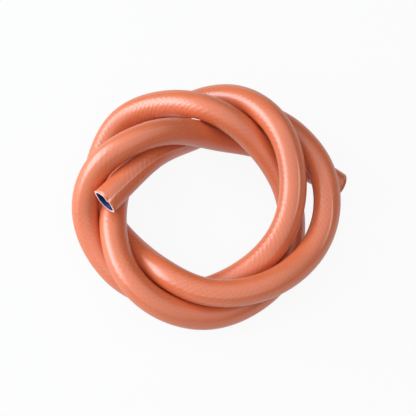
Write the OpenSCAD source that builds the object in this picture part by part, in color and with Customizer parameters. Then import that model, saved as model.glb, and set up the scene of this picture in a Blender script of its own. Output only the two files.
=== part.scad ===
// Rubber gas tubing: one soft tube with a coloured cover over a dark lining,
// lying as it was dropped, in a loose tangle of about three and a half turns.
// The tangle rests on the plane z = 0, centred on the origin.

/* [Tube] */
// Outside diameter of the tube
tube_d = 12; // [11:0.1:12]
// Diameter of the bore, which a hose nozzle fills
bore_d = 8; // [6:0.25:8.5]
// Thickness of the coloured cover, outside the dark lining
cover_t = 1; // [0.6:0.1:1.2]

/* [Ends] */
// Straight stretch at the upper free end
upper_end_l = 16; // [12:1:18]
// Straight stretch at the lower free end
lower_end_l = 16; // [12:1:18]

/* [Sweep] */
// Sides of the swept tube
sides = 12; // [8:2:12]
// Rings along the swept tube
rings = 80; // [70:1:80]

/* [Colours] */
// Colour of the cover
cover_colour = "#e98a67"; // ["#e98a67":Salmon, "#b9482c":Brick, "#3a3a3c":Black]
// Colour of the lining
lining_colour = "#15304e"; // ["#15304e":Navy, "#202022":Black]

/* [Hidden] */
$fn = 96;

// Radii of the tube's three surfaces, from the outside in
outer_r = tube_d / 2;
seam_r = outer_r - cover_t;
bore_r = bore_d / 2;

// How far the swept tube runs into each straight sleeve, and the room that
// its end ring leaves to the sleeve's own round surfaces
lap = 0.5;
lap_room = 0.05;

// A bore is cut this much past each face that it opens through
cut_past = 1;

// The sleeves are turned about their own length by this much, so that the
// seams of their round walls lie off the tube's upright and level planes
sleeve_turn = 15;

// The centre-line's control points, in mm. Every strand crosses over or under
// its neighbours with a tube's width between the centre-lines.
ROUTE = [
    // First turn: the upper end, down under the others, over at the right
    [-35, 5, 29], [-23, 20, 27], [-7, 36, 7], [11, 46, 8], [29, 42, 18],
    [43, 26, 23], [52, 10, 23], [53, -8, 18], [46, -25, 16], [31, -40, 20],
    [13, -46, 20], [-5, -45, 20], [-21, -35, 19], [-34, -20, 6], [-47, -5, 6],
    // Second turn: up the left on the table, over the top, down inside
    [-53, 12, 6], [-50, 30, 6], [-42, 44, 12], [-25, 47, 21], [-6, 41, 32],
    [9, 33, 33], [24, 24, 22], [37, 8, 10], [38, -13, 6], [34, -31, 6],
    [19, -45, 6], [1, -53, 8], [-17, -52, 15], [-32, -43, 20], [-41, -26, 19],
    [-43, -6, 19], [-40, 14, 14], [-32, 32, 6],
    // Third turn: outermost at the top, high at the right, low at the bottom
    [-22, 46, 6], [-7, 53, 12], [11, 50, 24], [26, 36, 34], [35, 20, 34],
    [38, 2, 26], [34, -17, 21], [21, -31, 14], [3, -39, 7], [-15, -43, 6],
    [-34, -38, 6], [-48, -25, 7], [-57, -7, 16], [-51, 9, 32],
    // Last half turn: over the upper end, then down to the table at the right
    [-34, 17, 41], [-15, 26, 37], [5, 32, 13], [24, 32, 10], [44, 21, 8]
];
spans = len(ROUTE) - 1;

// The control point i. One step past either end it is mirrored through that
// end's own point, so the curve starts and stops exactly there.
function control(i) =
    i < 0 ? 2 * ROUTE[0] - ROUTE[1]
    : i > spans ? 2 * ROUTE[spans] - ROUTE[spans - 1]
    : ROUTE[i];

// Cubic B-spline through one span, at t from 0 to 1, and its direction there
function blend(a, b, c, d, t) =
    (pow(1 - t, 3) * a + (3 * pow(t, 3) - 6 * pow(t, 2) + 4) * b
    + (1 + 3 * t + 3 * pow(t, 2) - 3 * pow(t, 3)) * c + pow(t, 3) * d) / 6;
function slope(a, b, c, d, t) =
    (-pow(1 - t, 2) * a + (3 * pow(t, 2) - 4 * t) * b
    + (1 + 2 * t - 3 * pow(t, 2)) * c + pow(t, 2) * d) / 2;
function unit(v) = v / norm(v);

// Centre-line and its direction at u, counted in control points
function span_of(u) = min(floor(u), spans - 1);
function centre(u) =
    let (i = span_of(u))
    blend(control(i - 1), control(i), control(i + 1), control(i + 2), u - i);
function heading(u) =
    let (i = span_of(u))
    unit(slope(control(i - 1), control(i), control(i + 1), control(i + 2), u - i));

// Ring k of the sweep: its middle and its direction. The first and last rings
// sit inside the straight sleeves.
function ring_u(k) = spans * k / (rings - 1);
function ring_middle(k) =
    let (u = ring_u(k))
    k == 0 ? centre(0) - lap * heading(0)
    : k == rings - 1 ? centre(spans) + lap * heading(spans)
    : centre(u);

// One ring of points, square to the centre-line, with a point at its lowest
function ring(k, r) =
    let (
        along = heading(ring_u(k)),
        across = unit(cross([0, 0, 1], along)),
        above = cross(along, across)
    )
    [for (s = [0:sides - 1])
        let (a = 360 * s / sides)
        ring_middle(k) + r * (sin(a) * across - cos(a) * above)];

// The ring's radius to its corners. An end ring shrinks from the outside and
// widens from the inside, so that it stays within the sleeve's wall.
function is_end(k) = k == 0 || k == rings - 1;
function outside_r(k, r) = is_end(k) ? r - lap_room : r;
function inside_r(k, r) = is_end(k) ? (r + lap_room) / cos(180 / sides) : r;

// Two triangles for each side of each step along a skin of rings
function skin(first, flip) =
    [for (k = [0:rings - 2], s = [0:sides - 1])
        let (
            a = first + k * sides + s,
            b = first + k * sides + (s + 1) % sides,
            c = b + sides,
            d = a + sides
        )
        each flip ? [[a, c, b], [a, d, c]] : [[a, b, c], [a, c, d]]];

// The flat wall between the outer and inner skins at ring k
function wall_end(k, flip) =
    [for (s = [0:sides - 1])
        let (
            a = k * sides + s,
            b = k * sides + (s + 1) % sides,
            c = b + rings * sides,
            d = a + rings * sides
        )
        each flip ? [[a, c, b], [a, d, c]] : [[a, b, c], [a, c, d]]];

// A hollow tube of the given radii, swept along the centre-line
module swept_wall(r_out, r_in) {
    polyhedron(
        points = [
            for (k = [0:rings - 1]) each ring(k, outside_r(k, r_out)),
            for (k = [0:rings - 1]) each ring(k, inside_r(k, r_in))
        ],
        faces = concat(
            skin(0, true),
            skin(rings * sides, false),
            wall_end(0, false),
            wall_end(rings - 1, true)
        ),
        convexity = 10
    );
}

// A straight sleeve that leaves the point at, along the direction out
module end_sleeve(at, out, l, r_out, r_in) {
    translate(at)
        rotate([0, acos(out[2]), atan2(out[1], out[0])])
            rotate([0, 0, sleeve_turn])
                difference() {
                    cylinder(h = l, r = r_out);
                    translate([0, 0, -cut_past])
                        cylinder(h = l + 2 * cut_past, r = r_in);
                }
}

// One layer of the tube from end to end
module layer(r_out, r_in) {
    swept_wall(r_out, r_in);
    end_sleeve(centre(0), -heading(0), upper_end_l, r_out, r_in);
    end_sleeve(centre(spans), heading(spans), lower_end_l, r_out, r_in);
}

// The coloured rubber that is seen and handled
module outer_cover() {
    color(cover_colour) layer(outer_r, seam_r);
}

// The dark gas-proof rubber round the bore, bonded inside the cover
module inner_lining() {
    color(lining_colour) layer(seam_r, bore_r);
}

outer_cover();
inner_lining();
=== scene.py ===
"""Rubber gas tubing: a metre of soft tube, lying in a loose tangle."""
import math

import bpy
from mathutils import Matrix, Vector


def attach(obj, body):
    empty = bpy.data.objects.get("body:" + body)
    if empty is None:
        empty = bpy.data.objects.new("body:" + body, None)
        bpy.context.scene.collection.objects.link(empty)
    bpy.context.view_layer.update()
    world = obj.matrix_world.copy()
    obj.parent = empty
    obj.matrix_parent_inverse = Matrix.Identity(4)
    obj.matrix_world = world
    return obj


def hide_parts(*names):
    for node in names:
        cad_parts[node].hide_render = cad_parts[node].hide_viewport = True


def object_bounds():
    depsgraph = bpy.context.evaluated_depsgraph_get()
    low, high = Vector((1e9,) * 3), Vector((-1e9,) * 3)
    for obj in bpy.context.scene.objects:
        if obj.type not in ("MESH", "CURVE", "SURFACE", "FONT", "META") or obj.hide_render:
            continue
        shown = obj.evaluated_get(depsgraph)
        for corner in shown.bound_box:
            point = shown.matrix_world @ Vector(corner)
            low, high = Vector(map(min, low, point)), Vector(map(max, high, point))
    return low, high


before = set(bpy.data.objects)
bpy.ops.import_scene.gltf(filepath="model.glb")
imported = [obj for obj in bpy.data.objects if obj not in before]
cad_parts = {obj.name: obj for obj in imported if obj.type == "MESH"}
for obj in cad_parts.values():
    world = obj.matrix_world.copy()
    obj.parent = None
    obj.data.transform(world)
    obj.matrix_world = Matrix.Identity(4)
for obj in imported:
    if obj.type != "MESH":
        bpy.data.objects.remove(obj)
cad_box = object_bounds()
low, high = cad_box
middle = (low + high) / 2
mm = 0.001


# ------------------------------------------------------------------ camera
# The tangle is seen from its front side and well above, through a long lens,
# with a little room left round it.
camera_elevation = math.radians(66)
camera_distance = 0.48
camera_aim = middle + Vector((-0.6, -1.2, -11.5)) * mm
lens_length = 92.4

camera_back = Vector((0, -math.cos(camera_elevation), math.sin(camera_elevation)))
bpy.ops.object.camera_add(location=camera_aim + camera_back * camera_distance)
camera = bpy.context.object
camera.name = "camera"
camera.rotation_euler = (math.radians(90) - camera_elevation, 0, 0)
camera.data.lens = lens_length
camera.data.sensor_width = 36
camera.data.clip_start = 0.01
bpy.context.scene.camera = camera


# ------------------------------------------------------------------- route
# The line that the tube lies along, as it fell: three and a half turns, each
# strand over or under its neighbours, with both ends free and straight.
route_mm = [
    # First turn: the upper end, down under the others, over at the right
    (-35, 5, 29), (-23, 20, 27), (-7, 36, 7), (11, 46, 8), (29, 42, 18),
    (43, 26, 23), (52, 10, 23), (53, -8, 18), (46, -25, 16), (31, -40, 20),
    (13, -46, 20), (-5, -45, 20), (-21, -35, 19), (-34, -20, 6), (-47, -5, 6),
    # Second turn: up the left on the table, over the top, down inside
    (-53, 12, 6), (-50, 30, 6), (-42, 44, 12), (-25, 47, 21), (-6, 41, 32),
    (9, 33, 33), (24, 24, 22), (37, 8, 10), (38, -13, 6), (34, -31, 6),
    (19, -45, 6), (1, -53, 8), (-17, -52, 15), (-32, -43, 20), (-41, -26, 19),
    (-43, -6, 19), (-40, 14, 14), (-32, 32, 6),
    # Third turn: outermost at the top, high at the right, low at the bottom
    (-22, 46, 6), (-7, 53, 12), (11, 50, 24), (26, 36, 34), (35, 20, 34),
    (38, 2, 26), (34, -17, 21), (21, -31, 14), (3, -39, 7), (-15, -43, 6),
    (-34, -38, 6), (-48, -25, 7), (-57, -7, 16), (-51, 9, 32),
    # Last half turn: over the upper end, then down to the table at the right
    (-34, 17, 41), (-15, 26, 37), (5, 32, 13), (24, 32, 10), (44, 21, 8),
]
upper_straight = 16 * mm
lower_straight = 18.3 * mm
steps_per_point = 24

# The tube was laid down with a slow twist in it, which carries its seam from
# side to side: a control point's number, and the degrees of twist there
twist = [(0, 17), (1, 38), (2, 60), (7.4, -60), (36, -104), (54, -104)]


def value_at(place, table):
    """The value at a place, between the entries of a short table."""
    place = min(max(place, table[0][0]), table[-1][0])
    for (a, value_a), (b, value_b) in zip(table, table[1:]):
        if place <= b:
            return value_a + (value_b - value_a) * (place - a) / (b - a)


knots = [Vector(p) * mm for p in route_mm]
first_step = knots[1] - knots[0]
last_step = knots[-1] - knots[-2]
# Two more points in line with each end carry the curve straight past it
points_added = 2
knots = [knots[0] - 2 * first_step, knots[0] - first_step, *knots]
knots += [knots[-1] + last_step, knots[-1] + 2 * last_step]

bpy.ops.curve.primitive_nurbs_path_add()
route = bpy.context.object
route.name = "route"
route.data.splines.clear()
line = route.data.splines.new("NURBS")
line.points.add(len(knots) - 1)
for number, (point, knot) in enumerate(zip(line.points, knots)):
    point.co = (*knot, 1)
    point.tilt = math.radians(value_at(number - points_added, twist))
line.order_u = 4
line.use_endpoint_u = False
line.resolution_u = steps_per_point
route.data.twist_mode = "MINIMUM"

# The tube starts and stops a straight end's length beyond the outer points
run = [v.co.copy() for v in route.to_mesh().vertices]
route.to_mesh_clear()
lengths = [0]
for a, b in zip(run, run[1:]):
    lengths.append(lengths[-1] + (b - a).length)
tube_start = first_step.length - upper_straight
tube_stop = lengths[-1] - last_step.length + lower_straight
tube_length = tube_stop - tube_start
upper_point = knots[points_added]
lower_point = knots[-1 - points_added]
upper_mouth = upper_point - first_step.normalized() * upper_straight
lower_mouth = lower_point + last_step.normalized() * lower_straight
centre_line = [upper_mouth]
centre_line += [p for p, s in zip(run, lengths) if tube_start < s < tube_stop]
centre_line.append(lower_mouth)


# ------------------------------------------------------------------- cover
# The salmon rubber that is seen and handled: a millimetre of soft compound
# extruded over the lining and cured in a wound cloth, which leaves its faint
# crossed print all over, and one fine seam along the tube.
outer_radius = 6 * mm
cover_wall = 1 * mm
cover_sides = 48
ring_step = 1.5 * mm

# The seam is a low ridge. From its top, at one angle round the tube, these are
# the turns to its shoulder, to its foot and to the first plain line past it.
seam_angle = math.radians(105)
seam_height = 0.22 * mm
shoulder_height = 0.7 * seam_height
seam_shoulder = math.radians(2.6)
seam_foot = math.radians(5)
seam_edge = math.radians(7)

# The seam stands proud in a few places, and is rubbed down between them: a distance along
# the tube in millimetres, and the share of its height there.
# The same share sets the strength of the painted glint, a pale highlight, along the seam.
seam_share_and_glint = [
    (0, 0.5), (50, 0.5), (75, 0.1), (150, 0.1), (160, 0.8), (168, 0.8), (180, 0.1),
    (740, 0.1), (748, 0.8), (758, 0.8), (770, 0.1),
]

# The upper end was cut with scissors: a little slanting, squeezed flat, and
# pointed at both sides. The lower end's cut slants back under the tube.
#   slant, longest: the cut's slope, and the angle round the tube of its long side
#   squeeze, squeezed: the share by which the mouth is flat, and the angle of it
#   point: the share by which its two sides are drawn to a point as well
#   reach: how far back from the cut all of this dies away
upper_cut = {
    "at": tube_start,
    "way": -1,
    "slant": 0.10,
    "longest": math.radians(139),
    "squeeze": 0.15,
    "squeezed": math.radians(88),
    "point": 0.35,
    "reach": 9 * mm,
}
lower_cut = {
    "at": tube_stop,
    "way": 1,
    "slant": 0.42,
    "longest": math.radians(144),
    "squeeze": 0.10,
    "squeezed": math.radians(46),
    "point": 0.0,
    "reach": 10 * mm,
}
sideways_share = 0.3

# The blades also nipped the upper end's wall inwards at one place. The nip fades
# out to each side as a bell curve does, and stops at so many half widths.
nib_depth = 1.2 * mm
nib_length = 3 * mm
nib_from_seam = math.radians(-8)
nib_half_width = math.radians(9)
nib_half_widths = 2


def straight_tube(name, radius, sides, step):
    """An open-ended tube along +X, as long as the hose and still straight."""
    rings = round(tube_length / step)
    short = tube_length / rings
    bpy.ops.object.select_all(action="DESELECT")
    bpy.ops.mesh.primitive_cylinder_add(
        vertices=sides,
        radius=radius,
        depth=short,
        end_fill_type="NOTHING",
        location=(tube_start + short / 2, 0, 0),
        rotation=(0, math.radians(90), 0),
    )
    tube = bpy.context.object
    tube.name = name
    bpy.ops.object.transform_apply()
    return tube, rings, short


def round_angle(point):
    """How far round the straight tube a point lies, from the seam."""
    angle = math.atan2(point.z, point.y) - seam_angle
    return (angle + math.pi) % (2 * math.pi) - math.pi


def draw_out(tube, rings, short, wall):
    """Repeats the short stretch end to end, and gives the tube its wall."""
    repeat = tube.modifiers.new("length", "ARRAY")
    repeat.count = rings
    repeat.use_relative_offset = False
    repeat.use_constant_offset = True
    repeat.constant_offset_displace = (short, 0, 0)
    repeat.use_merge_vertices = True
    repeat.merge_threshold = short / 10
    bpy.ops.object.modifier_apply(modifier="length")
    # The wall grows inwards, with a flat cut face at each end
    thickness = tube.modifiers.new("wall", "SOLIDIFY")
    thickness.thickness = wall
    thickness.offset = -1
    bpy.ops.object.modifier_apply(modifier="wall")
    for face in tube.data.polygons:
        looks_along_tube = abs(face.normal.x) > 0.9
        if looks_along_tube:
            face.material_index = 1


def keep_straight_place(tube):
    """Each point remembers where it lay before the tube was cut and bent."""
    place = tube.data.attributes.new("straight", "FLOAT_VECTOR", "POINT")
    for vertex, value in zip(tube.data.vertices, place.data):
        value.vector = vertex.co


def round_direction(angle):
    """The direction out of the straight tube at an angle round it."""
    return Vector((0, math.cos(angle), math.sin(angle)))


def cut_end(tube, cut):
    """Squeezes the last stretch and slants its cut."""
    above = round_direction(cut["squeezed"])
    across = round_direction(cut["squeezed"] + math.radians(90))
    long_side = round_direction(cut["longest"])
    for vertex in tube.data.vertices:
        gap = abs(vertex.co.x - cut["at"])
        if gap > cut["reach"]:
            continue
        share = (1 - gap / cut["reach"]) ** 2
        wide, tall = vertex.co.dot(across), vertex.co.dot(above)
        reach_out = cut["slant"] * vertex.co.dot(long_side) * share
        side = 1 - abs(tall) / math.hypot(wide, tall)
        tall *= (1 - share * cut["squeeze"]) * (1 - share * cut["point"] * side)
        wide *= 1 + share * cut["squeeze"] * sideways_share
        along = Vector((vertex.co.x + cut["way"] * reach_out, 0, 0))
        vertex.co = along + across * wide + above * tall


def pinch_nib(tube):
    """Nips the wall inwards at the upper cut, close to the seam."""
    for vertex in tube.data.vertices:
        gap = vertex.co.x - tube_start
        turn = (round_angle(vertex.co) - nib_from_seam) / nib_half_width
        if gap > nib_length or abs(turn) > nib_half_widths:
            continue
        share = (1 - gap / nib_length) ** 2 * math.exp(-turn * turn)
        centre = Vector((vertex.co.x, 0, 0))
        inwards = (centre - vertex.co).normalized()
        vertex.co += inwards * nib_depth * share


def rub_down_seam(tube):
    """Lowers the seam where it was rubbed down, and marks what is left of it, which sets
    the painted glint along the seam.
    """
    # This mark carries the painted highlight along the seam, not a colour of the rubber
    seam_glint_mark = tube.data.attributes.new("seam", "FLOAT", "POINT")
    for vertex, value in zip(tube.data.vertices, seam_glint_mark.data):
        out = Vector((0, vertex.co.y, vertex.co.z))
        raised = out.length - outer_radius
        if raised < seam_height / 10:
            continue
        left = value_at((vertex.co.x - tube_start) / mm, seam_share_and_glint)
        vertex.co -= out.normalized() * raised * (1 - left)
        value.value = left * raised / seam_height


def lay_along_route(tube):
    """Bends the straight tube along the route."""
    bpy.ops.object.select_all(action="DESELECT")
    tube.select_set(True)
    bpy.context.view_layer.objects.active = tube
    bend = tube.modifiers.new("lay", "CURVE")
    bend.object = route
    bend.deform_axis = "POS_X"
    bpy.ops.object.modifier_apply(modifier="lay")
    bpy.ops.object.shade_smooth()


cover, rings, short = straight_tube("cover", outer_radius, cover_sides, ring_step)
# The seam is raised on the short stretch, before it is repeated: the nearest
# line of points stands proud, and the lines on each side close up to its foot
side_angle = 2 * math.pi / cover_sides
lines_moved = 9
seam_lines = [
    (0, seam_height),
    (seam_shoulder, shoulder_height),
    (seam_foot, 0),
    (seam_edge, 0),
]
edge_line = len(seam_lines) - 1
for vertex in cover.data.vertices:
    turn = round_angle(vertex.co)
    line_number = round(abs(turn) / side_angle)
    if line_number >= lines_moved:
        continue
    if line_number <= edge_line:
        new_turn, raised = seam_lines[line_number]
    else:
        share = (line_number - edge_line) / (lines_moved - edge_line)
        new_turn = seam_edge + (lines_moved * side_angle - seam_edge) * share
        raised = 0
    angle = seam_angle + math.copysign(new_turn, turn)
    vertex.co.y = (outer_radius + raised) * math.cos(angle)
    vertex.co.z = (outer_radius + raised) * math.sin(angle)
draw_out(cover, rings, short, cover_wall)
rub_down_seam(cover)
keep_straight_place(cover)
cut_end(cover, upper_cut)
cut_end(cover, lower_cut)
pinch_nib(cover)
lay_along_route(cover)


def add_node(tree, kind, inputs=None, **settings):
    """A shader node with its settings, and its inputs set or joined."""
    node = tree.nodes.new(kind)
    for name, value in settings.items():
        setattr(node, name, value)
    for name, value in (inputs or {}).items():
        if isinstance(value, bpy.types.NodeSocket):
            tree.links.new(value, node.inputs[name])
        else:
            node.inputs[name].default_value = value
    return node


def sum_of(tree, operation, *values):
    """One step of arithmetic in a shader."""
    inputs = dict(enumerate(values))
    return add_node(tree, "ShaderNodeMath", inputs, operation=operation).outputs[0]


def build_cloth_print():
    """The print that a wound curing cloth leaves in soft rubber.

    It reads each point's place on the straight tube, so it follows every bend.
    The scales of its noises are in cells to the metre.
    """
    threads_round = 14
    crossing_weight = 0.6
    wander_weight = 1.2
    wander_scale = 160
    strength_scale = 55
    grain_scale = 900
    grain_weight = 0.5
    mottle_weight = 1.2

    group = bpy.data.node_groups.new("cloth print", "ShaderNodeTree")
    sockets = group.interface
    for name, value in (
        ("Winding pitch", 2.7 * mm),
        ("Mottle size", 9 * mm),
    ):
        socket = sockets.new_socket(name, in_out="INPUT", socket_type="NodeSocketFloat")
        socket.default_value = value
    for name in ("Height", "Mottle", "Marks"):
        sockets.new_socket(name, in_out="OUTPUT", socket_type="NodeSocketFloat")
    given = add_node(group, "NodeGroupInput").outputs
    straight = add_node(group, "ShaderNodeAttribute", attribute_name="straight")
    place = straight.outputs["Vector"]
    axes = add_node(group, "ShaderNodeSeparateXYZ", {0: place}).outputs
    angle = sum_of(group, "ARCTAN2", axes["Z"], axes["Y"])
    turns = sum_of(group, "DIVIDE", angle, 2 * math.pi)

    # Threads that slant at half a right angle, and a fainter set across them
    along = sum_of(group, "DIVIDE", axes["X"], given["Winding pitch"])
    wander = add_node(
        group,
        "ShaderNodeTexNoise",
        {"Vector": place, "Scale": wander_scale, "Detail": 1},
    ).outputs["Fac"]
    shaken = sum_of(group, "MULTIPLY_ADD", wander, wander_weight, along)
    forwards = sum_of(group, "MULTIPLY_ADD", turns, threads_round, shaken)
    backwards = sum_of(group, "MULTIPLY_ADD", turns, -threads_round, shaken)
    bands = sum_of(group, "SINE", sum_of(group, "MULTIPLY", forwards, 2 * math.pi))
    crossing = sum_of(group, "SINE", sum_of(group, "MULTIPLY", backwards, 2 * math.pi))
    marks = sum_of(group, "MULTIPLY_ADD", crossing, crossing_weight, bands)

    # The print is stronger in some places than in others
    strength = add_node(
        group,
        "ShaderNodeTexNoise",
        {"Vector": place, "Scale": strength_scale, "Detail": 2},
    ).outputs["Fac"]
    strength = add_node(
        group,
        "ShaderNodeMapRange",
        {"Value": strength, "From Min": 0.38, "From Max": 0.68, "To Min": 0.3},
    ).outputs["Result"]
    marks = sum_of(group, "MULTIPLY", marks, strength)
    grain = add_node(
        group,
        "ShaderNodeTexNoise",
        {"Vector": place, "Scale": grain_scale, "Detail": 3, "Roughness": 0.6},
    ).outputs["Fac"]
    mottle_scale = sum_of(group, "DIVIDE", 1, given["Mottle size"])
    mottle = add_node(
        group,
        "ShaderNodeTexNoise",
        {"Vector": place, "Scale": mottle_scale, "Detail": 3, "Roughness": 0.55},
    ).outputs["Fac"]

    height = sum_of(group, "MULTIPLY_ADD", grain, grain_weight, marks)
    height = sum_of(group, "MULTIPLY_ADD", mottle, mottle_weight, height)
    add_node(
        group,
        "NodeGroupOutput",
        {"Height": height, "Mottle": mottle, "Marks": marks},
    )
    return group


cloth_print = build_cloth_print()

# The cover's own skin: mottled salmon, a little paler on the threads' marks, and
# with a painted glint, a pale pink highlight, along what is left of the seam
cover_rubber = bpy.data.materials.new("salmon rubber")
cover_rubber.use_nodes = True
tree = cover_rubber.node_tree
shader = tree.nodes["Principled BSDF"]
skin = add_node(tree, "ShaderNodeGroup", node_tree=cloth_print)
tone = add_node(
    tree,
    "ShaderNodeMapRange",
    {"Value": skin.outputs["Mottle"], "From Min": 0.3, "From Max": 0.7},
).outputs["Result"]
body_colour = add_node(tree, "ShaderNodeMix", {"Factor": tone}, data_type="RGBA")
body_colour.inputs["A"].default_value = (0.62, 0.132, 0.043, 1)
body_colour.inputs["B"].default_value = (0.69, 0.152, 0.054, 1)
printed = add_node(
    tree,
    "ShaderNodeMapRange",
    {"Value": skin.outputs["Marks"], "From Min": -1.5, "From Max": 1.5},
).outputs["Result"]
tinted = add_node(tree, "ShaderNodeMix", {"Factor": printed}, data_type="RGBA")
tree.links.new(body_colour.outputs["Result"], tinted.inputs["A"])
tinted.inputs["B"].default_value = (0.70, 0.165, 0.065, 1)
# Painted highlight: the seam's glint is a pale pink mixed into the colour, stronger where
# the seam stands prouder
seam_glint_strength = 0.7
seam = add_node(tree, "ShaderNodeAttribute", attribute_name="seam").outputs["Fac"]
painted_glint = sum_of(tree, "MULTIPLY", seam, seam_glint_strength)
colour_with_painted_glint = add_node(tree, "ShaderNodeMix", {"Factor": painted_glint}, data_type="RGBA")
tree.links.new(tinted.outputs["Result"], colour_with_painted_glint.inputs["A"])
colour_with_painted_glint.inputs["B"].default_value = (0.86, 0.50, 0.40, 1)
tree.links.new(colour_with_painted_glint.outputs["Result"], shader.inputs["Base Color"])
gloss = add_node(
    tree,
    "ShaderNodeMapRange",
    {"Value": skin.outputs["Mottle"], "To Min": 0.32, "To Max": 0.42},
).outputs["Result"]
tree.links.new(gloss, shader.inputs["Roughness"])
shader.inputs["Specular IOR Level"].default_value = 1
relief = add_node(
    tree,
    "ShaderNodeBump",
    {"Height": skin.outputs["Height"], "Strength": 0.5, "Distance": 0.05 * mm},
)
tree.links.new(relief.outputs["Normal"], shader.inputs["Normal"])

# Where it was cut, the rubber is paler and dull
cut_rubber = bpy.data.materials.new("cut salmon rubber")
cut_rubber.use_nodes = True
tree = cut_rubber.node_tree
shader = tree.nodes["Principled BSDF"]
skin = add_node(tree, "ShaderNodeGroup", node_tree=cloth_print)
fresh = add_node(
    tree, "ShaderNodeMix", {"Factor": skin.outputs["Mottle"]}, data_type="RGBA"
)
fresh.inputs["A"].default_value = (0.92, 0.60, 0.58, 1)
fresh.inputs["B"].default_value = (0.98, 0.76, 0.75, 1)
tree.links.new(fresh.outputs["Result"], shader.inputs["Base Color"])
shader.inputs["Roughness"].default_value = 0.6
torn = add_node(
    tree,
    "ShaderNodeBump",
    {"Height": skin.outputs["Height"], "Strength": 0.8, "Distance": 0.05 * mm},
)
tree.links.new(torn.outputs["Normal"], shader.inputs["Normal"])
cover.data.materials.append(cover_rubber)
cover.data.materials.append(cut_rubber)

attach(cover, "root")
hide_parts("outer_cover")


# ------------------------------------------------------------------ lining
# The dark navy rubber round the bore, which keeps the gas in. It is extruded
# with the cover and bonded to it, and shows only at a cut end.
lining_radius = 4.98 * mm
lining_wall = 0.98 * mm
lining_sides = 40
lining_step = 3 * mm

lining, rings, short = straight_tube(
    "lining", lining_radius, lining_sides, lining_step
)
draw_out(lining, rings, short, lining_wall)
keep_straight_place(lining)
cut_end(lining, upper_cut)
cut_end(lining, lower_cut)
pinch_nib(lining)
lay_along_route(lining)

lining_rubber = bpy.data.materials.new("navy rubber")
lining_rubber.use_nodes = True
tree = lining_rubber.node_tree
shader = tree.nodes["Principled BSDF"]
skin = add_node(tree, "ShaderNodeGroup", node_tree=cloth_print)
navy = add_node(
    tree, "ShaderNodeMix", {"Factor": skin.outputs["Mottle"]}, data_type="RGBA"
)
navy.inputs["A"].default_value = (0.001, 0.005, 0.050, 1)
navy.inputs["B"].default_value = (0.001, 0.045, 0.180, 1)
tree.links.new(navy.outputs["Result"], shader.inputs["Base Color"])
smear = add_node(
    tree,
    "ShaderNodeMapRange",
    {"Value": skin.outputs["Mottle"], "To Min": 0.40, "To Max": 0.60},
).outputs["Result"]
tree.links.new(smear, shader.inputs["Roughness"])
shader.inputs["Specular IOR Level"].default_value = 0.15
ripple = add_node(
    tree,
    "ShaderNodeBump",
    {"Height": skin.outputs["Height"], "Strength": 0.3, "Distance": 0.05 * mm},
)
tree.links.new(ripple.outputs["Normal"], shader.inputs["Normal"])
# Its cut faces, which have the second place, are the same rubber
lining.data.materials.append(lining_rubber)
lining.data.materials.append(lining_rubber)

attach(lining, "root")
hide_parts("inner_lining")

bpy.data.objects.remove(route)


# ------------------------------------------------------------------- floor
# A plain white table top. It is seen as white, apart from a soft shadow under
# the tube.
bpy.ops.object.select_all(action="DESELECT")
bpy.ops.mesh.primitive_plane_add(size=4, location=(0, 0, 0))
floor = bpy.context.object
floor.name = "table_top"


def seen_share(tree):
    """One where the eye, a reflection or a clear body looks, else nought."""
    rays = add_node(tree, "ShaderNodeLightPath").outputs
    seen = sum_of(tree, "ADD", rays["Is Camera Ray"], rays["Is Glossy Ray"])
    return sum_of(tree, "ADD", seen, rays["Is Transmission Ray"])


table_paint = bpy.data.materials.new("white table top")
table_paint.use_nodes = True
tree = table_paint.node_tree
paint = tree.nodes["Principled BSDF"]
paint.inputs["Base Color"].default_value = (0.62, 0.62, 0.62, 1)
paint.inputs["Roughness"].default_value = 0.8
glow = add_node(tree, "ShaderNodeEmission", {"Color": (1, 1, 1, 1), "Strength": 1})
whiteness = 0.92
share = sum_of(tree, "MULTIPLY", seen_share(tree), whiteness)
mix = add_node(tree, "ShaderNodeMixShader", {0: share})
tree.links.new(paint.outputs[0], mix.inputs[1])
tree.links.new(glow.outputs[0], mix.inputs[2])
tree.links.new(mix.outputs[0], tree.nodes["Material Output"].inputs["Surface"])
floor.data.materials.append(table_paint)


# ------------------------------------------------------------------ lights
# One soft window stands low at the left, with a cool light in it. A wide pale
# screen hangs overhead, and the room all round is dim and even.
def soft_lamp(name, direction, distance, width, height, power):
    """A rectangular lamp that faces the tube's middle from one direction."""
    towards = Vector(direction).normalized()
    bpy.ops.object.light_add(type="AREA", location=middle + towards * distance)
    lamp = bpy.context.object
    lamp.name = name
    lamp.rotation_euler = towards.to_track_quat("Z", "Y").to_euler()
    lamp.data.shape = "RECTANGLE"
    lamp.data.size = width
    lamp.data.size_y = height
    lamp.data.energy = power
    return lamp


window = soft_lamp("left window", (-0.90, 0.10, 0.42), 0.7, 0.60, 0.36, 5.5)
window.data.color = (0.80, 0.92, 1.0)
soft_lamp("overhead screen", (-0.1, -0.2, 0.97), 0.9, 2.2, 2.2, 15.5)

world = bpy.data.worlds.new("pale room")
bpy.context.scene.world = world
world.use_nodes = True
world.node_tree.nodes["Background"].inputs["Color"].default_value = (1, 1, 1, 1)
world.node_tree.nodes["Background"].inputs["Strength"].default_value = 0.12

bpy.context.scene.view_settings.view_transform = "Standard"
